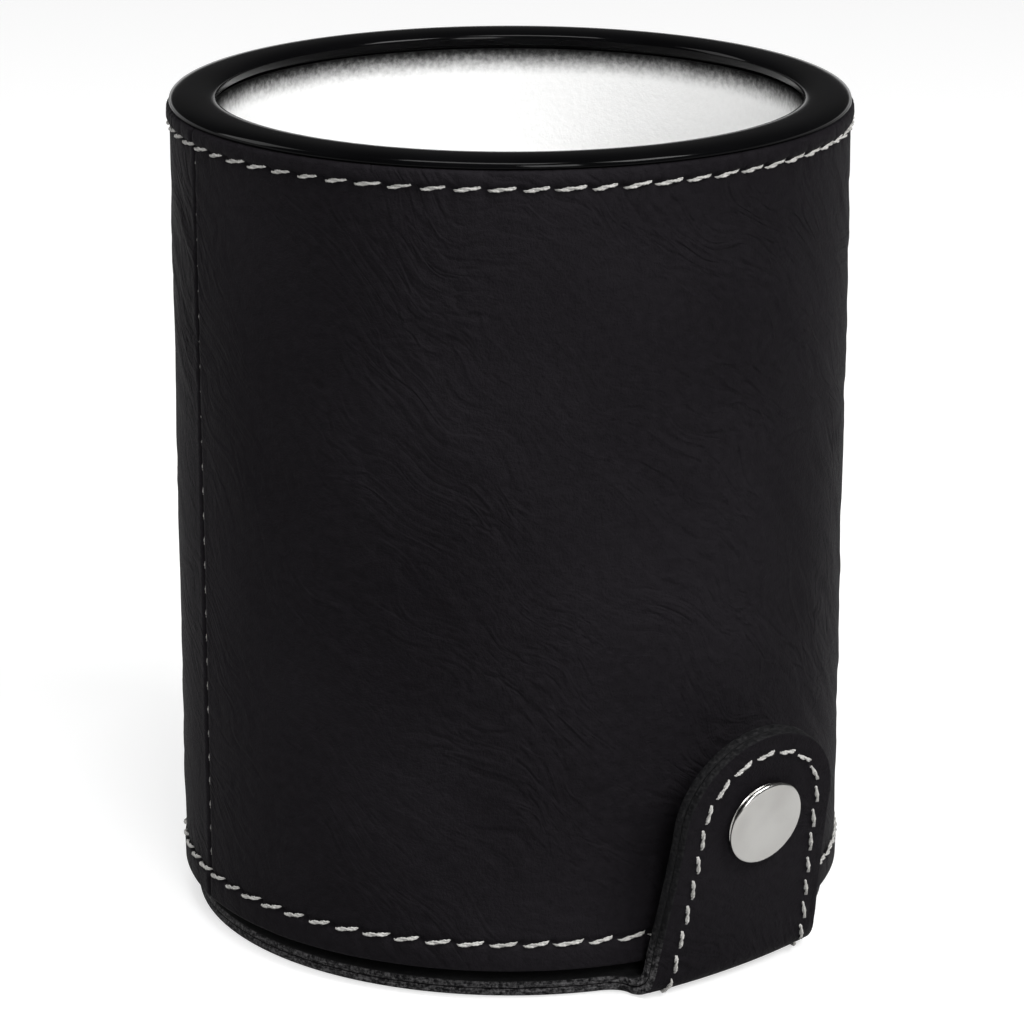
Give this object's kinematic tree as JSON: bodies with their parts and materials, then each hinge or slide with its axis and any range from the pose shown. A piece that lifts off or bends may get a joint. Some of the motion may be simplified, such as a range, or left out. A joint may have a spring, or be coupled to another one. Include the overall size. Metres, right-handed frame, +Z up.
{
  "type": "pen holder cup",
  "caption": "Round leather-covered cup for pens with a moulded insert, stitched hems, and a hinged base lid over a storage space, held shut by a stitched tab with a snap.",
  "frame": {"origin": "centre of the base lid's underside, on the cup's axis", "axes": "+Z up along the cup's axis, -Y towards the snap tab, +Y towards the rear hinge tongue"},
  "size_m": [0.0816, 0.0911, 0.1],
  "materials": {
    "black_leatherette": "pebbled satin black",
    "cut_leather": "matt black with fibrous cut edges",
    "black_plastic": "glossy black moulding",
    "white_lining": "soft white lining",
    "board": "matt black disc",
    "dark_lining": "soft dark lining",
    "thread": "twisted off-white sewing thread",
    "snap_metal": "satin nickel"
  },
  "bodies": {
    "cup": {"insert_cup": "black_plastic", "outer_sleeve": "black_leatherette", "wall_lining": "white_lining", "floor_pad": "white_lining", "top_hem_thread": "thread", "bottom_hem_thread": "thread", "side_seam_thread": "thread", "snap_stud": "snap_metal", "snap_rivet": "snap_metal", "hinge_tongue": "black_leatherette", "hinge_thread": "thread"},
    "lid": {"lid_outer_ply": "cut_leather", "lid_inner_ply": "cut_leather", "lid_locating_disc": "board", "lid_pad": "dark_lining", "lid_thread": "thread"},
    "tab": {"tab_outer_ply": "black_leatherette", "tab_inner_ply": "cut_leather", "tab_thread": "thread", "snap_cap": "snap_metal", "snap_socket": "snap_metal"}
  },
  "joints": [
    {"name": "lid_hinge", "type": "hinge", "parent": "cup", "child": "lid", "pos_m": [0, 0.04185, 0.0013], "axis": [1, 0, 0], "range_deg": [0, 120]},
    {"name": "tab_fold", "type": "hinge", "parent": "lid", "child": "tab", "pos_m": [0, -0.03963, 0], "axis": [1, 0, 0], "range_deg": [0, 95]}
  ]
}
